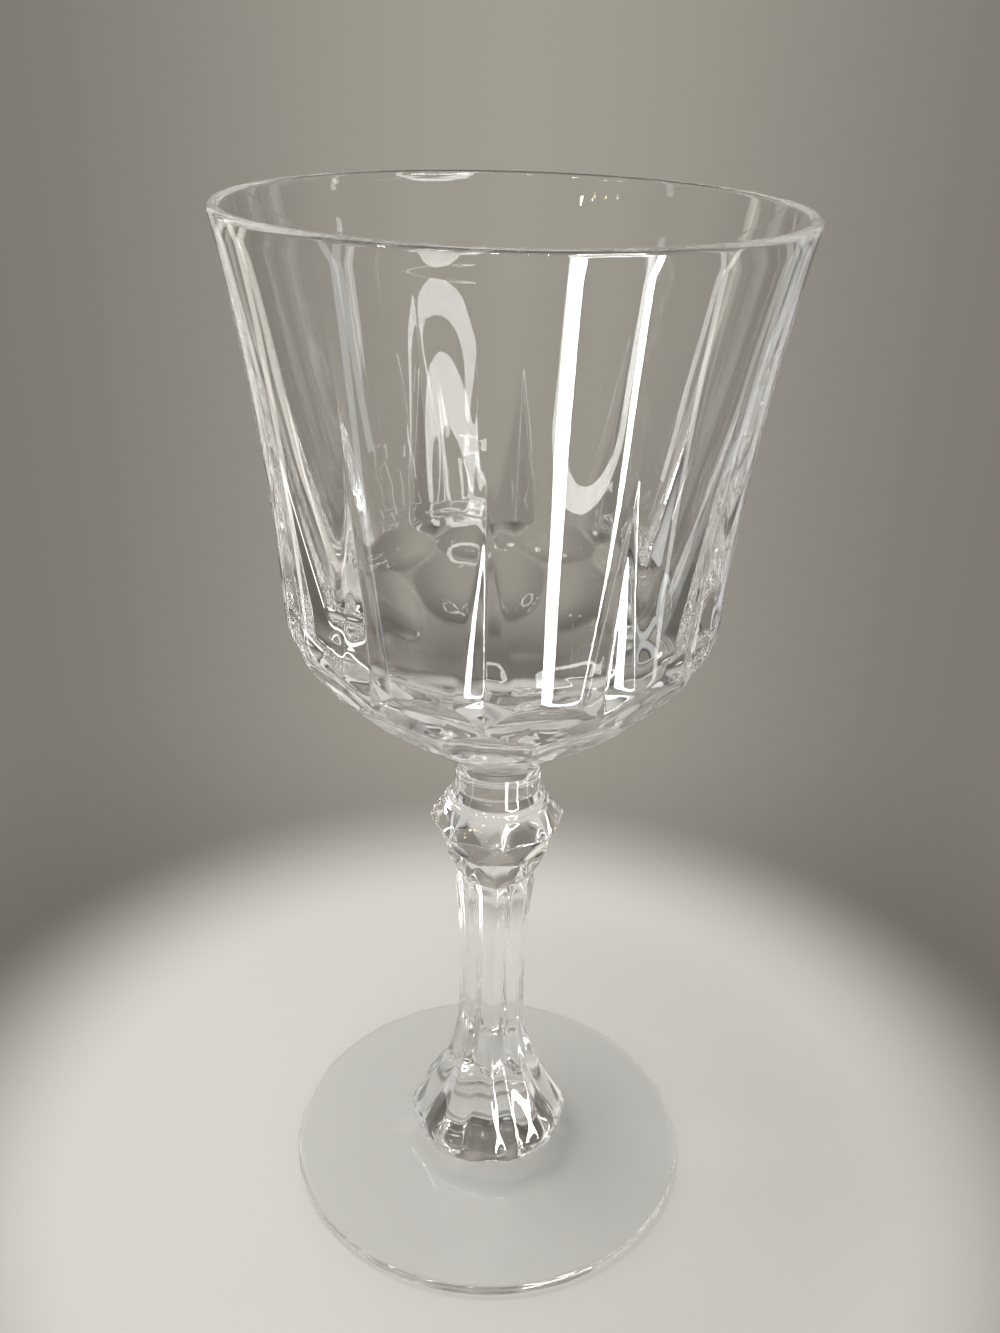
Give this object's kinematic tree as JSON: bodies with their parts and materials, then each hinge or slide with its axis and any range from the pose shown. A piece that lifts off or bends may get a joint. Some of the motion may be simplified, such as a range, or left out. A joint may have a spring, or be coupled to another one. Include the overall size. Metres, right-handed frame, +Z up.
{
  "type": "wine goblet",
  "caption": "Clear glass wine goblet with a flared bowl cut in pointed darts over two rows of ovals, a fluted stem with a pointed knop, and a round foot.",
  "frame": {"origin": "centre of the resting ring under the foot, on the surface that the goblet stands on", "axes": "+Z up along the stem, to the rim; -Y to the front of the picture; +X to its right"},
  "size_m": [0.0816, 0.0816, 0.17],
  "materials": {
    "bowl_glass": "clear, polished, with soft edges along the darts and ovals",
    "stem_glass": "clear, polished, with soft ridges between the flutes",
    "foot_glass": "clear, polished, finely scuffed on the resting ring"
  },
  "bodies": {
    "root": {"bowl": "bowl_glass", "stem": "stem_glass", "foot": "foot_glass"}
  },
  "joints": []
}
